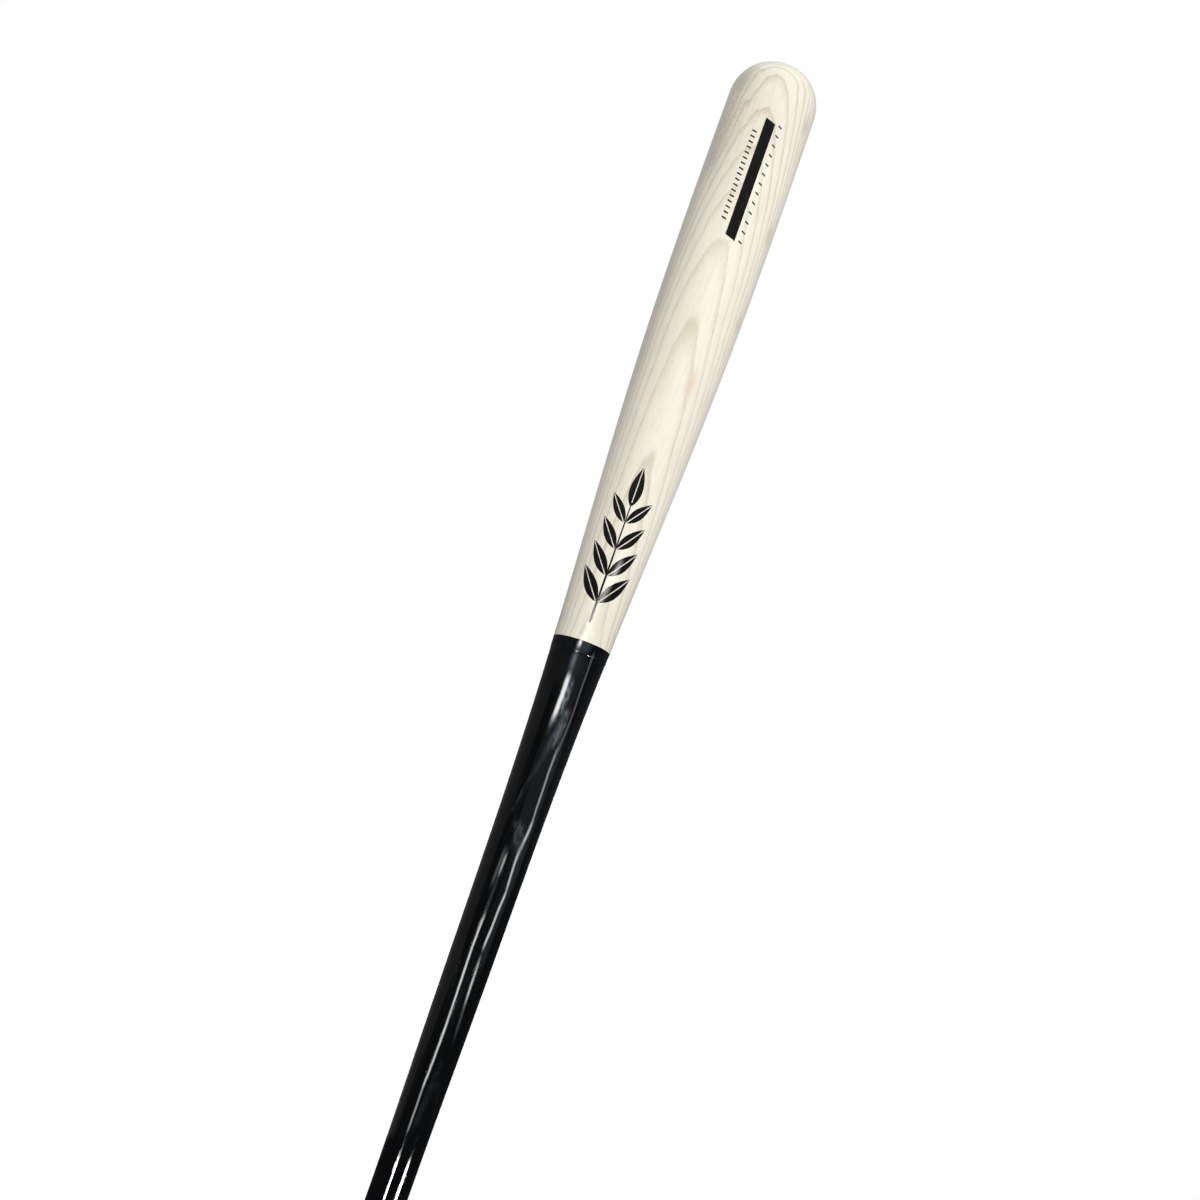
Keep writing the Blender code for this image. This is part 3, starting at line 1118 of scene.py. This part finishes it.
def glow(shading, azimuth, height, row):
    """Brightness of one patch of light at an azimuth and height.

    The curve holds the path's azimuths, from -180 to 180 degrees, as 0 to 1.
    """
    foot, top = row.path[0][0], row.path[-1][0]
    points = [((up - foot) / (top - foot), turn / 360 + 0.5) for up, turn in row.path]
    up = (height - foot) / (top - foot)
    path = shading.add("ShaderNodeFloatCurve", {"points": points}, {"Value": up}) * 360 - 180
    off = shading.math("ABSOLUTE", shading.math("WRAP", azimuth - path, 180.0, -180.0))
    across = 1 - shading.smooth(off, row.half_width - row.blur, row.half_width + row.blur)
    above_foot = shading.smooth(height, foot - row.foot_fade, foot + row.foot_fade)
    below_top = 1 - shading.smooth(height, top - row.top_fade, top + row.top_fade)
    return across * above_foot * below_top * row.brightness


class BAT_OT_set_studio(bpy.types.Operator):
    """Sets up the camera, the key lamp, the white background and the lights that gloss mirrors"""

    bl_idname = "bat.set_studio"
    bl_label = "Set Up Studio"

    def execute(self, context):
        scene = context.scene
        look = scene.bat_studio
        scene.view_settings.view_transform = "Standard"
        self.place_camera(scene, look)
        self.light_world(scene, look)
        self.hang_key(scene, look)
        self.lay_floor(look)
        self.hang_screen(look)
        return {"FINISHED"}

    def place_camera(self, scene, look):
        """Stands the camera in front of the bat, tilted up and rolled."""
        data = bpy.data.cameras.new("camera")
        data.lens = look.lens
        data.sensor_width = look.sensor
        camera = bpy.data.objects.new("camera", data)
        place = Vector((look.camera_aside, -look.camera_distance, look.camera_height))
        raised = Matrix.Rotation(math.pi / 2 + look.camera_tilt, 4, "X")
        rolled = Matrix.Rotation(look.camera_roll, 4, "Z")
        camera.matrix_world = Matrix.Translation(place) @ raised @ rolled
        scene.collection.objects.link(camera)
        scene.camera = camera

    def seen_white(self, shading):
        """1 for the rays that see the background, and 0 for those that only gather light."""
        rays = shading.add("ShaderNodeLightPath")
        seen = rays.out("Is Camera Ray") + rays.out("Is Glossy Ray")
        return shading.math("MINIMUM", seen + rays.out("Is Transmission Ray"), 1.0)

    def light_world(self, scene, look):
        """Lights the bat evenly from all round, before a white background."""
        world = bpy.data.worlds.new("white_studio")
        world.use_nodes = True
        shading = Shading(world.node_tree)
        strength = self.seen_white(shading) * (1 - look.ambient) + look.ambient
        sockets = {"Color": (*WHITE, 1.0), "Strength": strength}
        light = shading.add("ShaderNodeBackground", None, sockets)
        shading.add("ShaderNodeOutputWorld", None, {"Surface": light})
        scene.world = world

    def hang_key(self, scene, look):
        """Hangs the soft square key, which the gloss doesn't mirror."""
        data = bpy.data.lights.new("soft_key", "AREA")
        data.shape = "SQUARE"
        data.size = look.key_size
        data.energy = look.key_power
        key = bpy.data.objects.new("soft_key", data)
        across = look.key_distance * math.sin(look.key_azimuth)
        before = look.key_distance * math.cos(look.key_azimuth)
        place = Vector((across, -before, look.key_height))
        aim = Vector((0.0, 0.0, look.key_aim))
        turn = (aim - place).to_track_quat("-Z", "Y").to_matrix()
        key.matrix_world = Matrix.Translation(place) @ turn.to_4x4()
        key.visible_camera = False
        key.visible_glossy = False
        scene.collection.objects.link(key)

    def lay_floor(self, look):
        """Lays the white floor, which takes the bat's shadow and is a little dimmer at the knob."""
        bm = bmesh.new()
        bmesh.ops.create_grid(bm, x_segments=1, y_segments=1, size=FLOOR_SIZE)
        bmesh.ops.translate(bm, verts=bm.verts, vec=(0.0, 0.0, -FLOOR_DROP))
        material, shading = new_material("floor", look.floor)
        near = 1 - shading.smooth(shading.far(shading.place()), *SHADE_FADE)
        white = self.seen_white(shading) * (1 - near * look.shade)
        matt = shading.add("ShaderNodeBsdfDiffuse", None, {"Color": (*look.floor, 1.0)})
        lit = shading.add("ShaderNodeEmission", None, {"Color": (*WHITE, 1.0), "Strength": 1.0})
        surface = shading.add("ShaderNodeMixShader", None, {0: white, 1: matt, 2: lit})
        shading.add("ShaderNodeOutputMaterial", None, {"Surface": surface})
        new_piece("floor", bm, [material])

    def hang_screen(self, look):
        """Hangs a screen on the floor and round the bat, which only the gloss mirrors."""
        bm = bmesh.new()
        bmesh.ops.create_circle(bm, cap_ends=False, radius=SCREEN_HOLE, segments=SCREEN_SIDES)
        edges = list(bm.edges)
        for height in (SCREEN_RISE, SCREEN_TOP):
            made = bmesh.ops.extrude_edge_only(bm, edges=edges)
            edges = only(bmesh.types.BMEdge, made)
            for vert in only(bmesh.types.BMVert, made):
                vert.co = Vector((*(vert.co.xy.normalized() * SCREEN_RADIUS), height))
        material, shading = new_material("screen", look.haze)
        self.paint_screen(shading, look)
        screen = new_piece("screen", bm, [material])
        screen.visible_camera = False
        screen.visible_diffuse = False
        screen.visible_shadow = False
        screen.visible_transmission = False

    def paint_screen(self, shading, look):
        """Puts the lamplight, the haze and the clouds on the screen."""
        place = shading.place()
        x, y, z = shading.parts(place)
        azimuth = shading.math("ARCTAN2", x, 0 - y) * math.degrees(1.0)
        height = z - shading.greater(SCREEN_RADIUS - shading.far(place), 0.0)
        unsteady = azimuth + shading.stray(place, SWAY) * SWAY_ANGLE
        lamps = [glow(shading, unsteady, height, row) for row in LAMPLIGHT.values()]
        lamps += [glow(shading, azimuth, height, row) for row in GLINTS.values()]
        lamplight = 0.0
        for lamp in lamps:
            lamplight = shading.greater(lamplight, lamp)
        flank = shading.smooth(shading.math("ABSOLUTE", azimuth), *FLANK_AZIMUTHS)
        upper = flank * (look.flank - look.upper) + look.upper
        dim = shading.smooth(height, *UPPER_HEIGHTS) * upper + look.dark
        for row in HAZE.values():
            dim = dim + glow(shading, azimuth, height, row)
        mottle = shading.patches(place, LEAVES)
        for row in CLOUDS.values():
            dim = dim + glow(shading, azimuth, height, row) * mottle
        bright = shading.smooth(lamplight, 0.0, WHITE_FROM)
        white = shading.greater(bright, shading.smooth(height, *WHITE_HEIGHTS))
        left = 1 - shading.smooth(azimuth, *WHITE_AZIMUTHS)
        tint = shading.mix(shading.greater(white, left), look.haze, WHITE)
        sockets = {0: tint, "Scale": lamplight + dim}
        light = shading.add("ShaderNodeVectorMath", {"operation": "SCALE"}, sockets)
        lit = shading.add("ShaderNodeEmission", None, {"Color": light, "Strength": 1.0})
        shading.add("ShaderNodeOutputMaterial", None, {"Surface": lit})


class BAT_PT_bat(bpy.types.Panel):
    """Lists the steps and the sizes and colours that they use"""

    bl_idname = "BAT_PT_bat"
    bl_label = "Baseball Bat"
    bl_space_type = "VIEW_3D"
    bl_region_type = "UI"
    bl_category = "Bat"

    def draw(self, context):
        steps = self.layout.column(align=True)
        for operator in OPERATORS:
            steps.operator(operator.bl_idname)
        for name, group in SETTINGS.items():
            box = self.layout.box()
            box.label(text=group.__name__)
            settings = getattr(context.scene, name)
            for key in group.__annotations__:
                box.prop(settings, key)


OPERATORS = (
    BAT_OT_turn_billet,
    BAT_OT_dip_handle,
    BAT_OT_coat_barrel,
    BAT_OT_print_sprig,
    BAT_OT_print_bars,
    BAT_OT_set_studio,
)


def register():
    for group in SETTINGS.values():
        bpy.utils.register_class(group)
    for name, group in SETTINGS.items():
        setattr(bpy.types.Scene, name, PointerProperty(type=group))
    for part in (*OPERATORS, BAT_PT_bat):
        bpy.utils.register_class(part)


def unregister():
    for part in (BAT_PT_bat, *reversed(OPERATORS)):
        bpy.utils.unregister_class(part)
    for name, group in SETTINGS.items():
        delattr(bpy.types.Scene, name)
        bpy.utils.unregister_class(group)


def main():
    register()
    bpy.ops.bat.turn_billet()
    bpy.ops.bat.dip_handle()
    bpy.ops.bat.coat_barrel()
    bpy.ops.bat.print_sprig()
    bpy.ops.bat.print_bars()
    bpy.ops.bat.set_studio()


if __name__ == "__main__":
    main()
